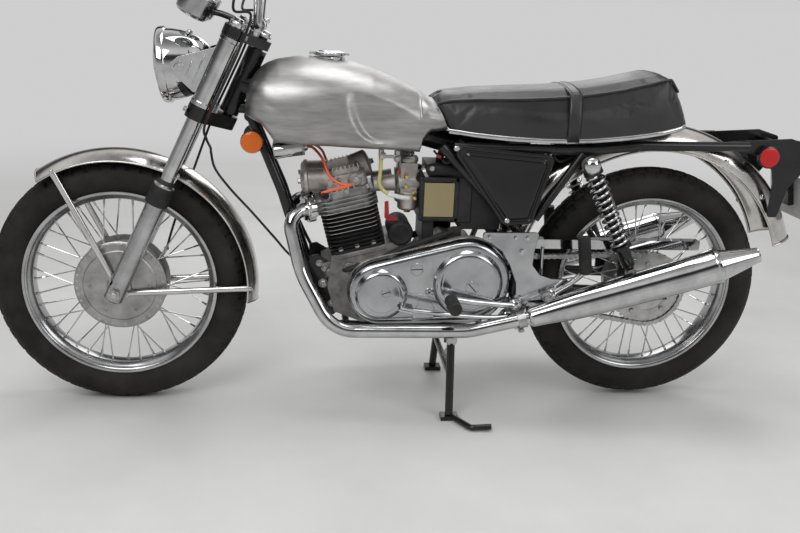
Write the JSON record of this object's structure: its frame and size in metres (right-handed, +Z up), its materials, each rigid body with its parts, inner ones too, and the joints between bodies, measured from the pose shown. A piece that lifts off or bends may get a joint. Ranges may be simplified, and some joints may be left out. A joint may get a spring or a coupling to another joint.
{
  "type": "roadster motorcycle",
  "caption": "Classic parallel-twin roadster with cafe racer touches on its centre stand: bare alloy tank, flat dual seat, upright bars, wire wheels, finned engine and megaphone silencers.",
  "frame": {"origin": "on the ground under the middle of the machine's bounding box", "axes": "+X to the rear, -Y to the rider's left, +Z up; the stand's shoes and the front tyre stand on z = 0"},
  "size_m": [2.234, 0.6784, 1.1318],
  "materials": {
    "tyre_rubber": "matt",
    "polished_alloy": "polished",
    "cast_alloy": "satin",
    "chrome_plate": "mirror bright",
    "black_paint": "gloss",
    "steel": "satin",
    "black_fins": "matt black",
    "bare_tank": "brushed",
    "black_vinyl": "soft sheen",
    "black_plastic": "matt",
    "black_gloss": "gloss",
    "black_rubber": "matt",
    "amber_lens": "clear amber",
    "red_lens": "clear red"
  },
  "bodies": {
    "chassis": {"frame_spine": "black_paint", "frame_cradle": "black_paint", "rear_frame": "black_paint", "swingarm": "black_paint", "rear_axle": "steel", "cylinder_barrel": "black_fins", "cylinder_head": "cast_alloy", "crankcase": "cast_alloy", "primary_cover": "polished_alloy", "timing_cover": "polished_alloy", "gearbox": "cast_alloy", "starter_motor": "black_paint", "carburettors": "cast_alloy", "air_box": "black_plastic", "headers": "chrome_plate", "silencers": "chrome_plate", "fuel_tank": "bare_tank", "seat": "black_vinyl", "side_panels": "black_gloss", "rear_mudguard": "chrome_plate", "tail_bracket": "black_paint", "tail_lamp": "red_lens", "rear_reflectors": "red_lens", "front_reflectors": "amber_lens", "ignition_coils": "cast_alloy", "shocks": "chrome_plate", "chain": "steel", "chain_guard": "chrome_plate", "footrest_plates": "cast_alloy", "footrests": "black_rubber", "foot_controls": "chrome_plate"},
    "steering_head": {"yokes": "cast_alloy", "fork_legs": "polished_alloy", "front_axle": "steel", "brake_plate": "polished_alloy", "headlamp": "chrome_plate", "headlamp_brackets": "chrome_plate", "instruments": "polished_alloy", "handlebar": "chrome_plate", "grips": "black_rubber", "front_mudguard": "chrome_plate"},
    "front_wheel_set": {"front_wheel": "polished_alloy", "front_tyre": "tyre_rubber"},
    "rear_wheel_set": {"rear_wheel": "polished_alloy", "rear_tyre": "tyre_rubber", "rear_sprocket": "steel"},
    "cap": {"filler_cap": "chrome_plate"},
    "stand": {"centre_stand": "black_paint"}
  },
  "joints": [
    {"name": "steering", "type": "hinge", "parent": "chassis", "child": "steering_head", "pos_m": [-0.46116, 0, 0.86802], "axis": [0.4226, 0, 0.9063], "range_deg": [-30, 30]},
    {"name": "front_wheel_spin", "type": "hinge", "parent": "steering_head", "child": "front_wheel_set", "pos_m": [-0.783, 0, 0.334], "axis": [0, 1, 0], "continuous": true},
    {"name": "rear_wheel_spin", "type": "hinge", "parent": "chassis", "child": "rear_wheel_set", "pos_m": [0.657, 0, 0.342], "axis": [0, 1, 0], "continuous": true},
    {"name": "centre_stand_fold", "type": "hinge", "parent": "chassis", "child": "stand", "pos_m": [0.103, 0, 0.208], "axis": [0, -1, 0], "range_deg": [0, 78]},
    {"name": "filler_cap_open", "type": "hinge", "parent": "chassis", "child": "cap", "pos_m": [-0.286, 0, 0.951], "axis": [0, -1, 0], "range_deg": [0, 100]}
  ]
}
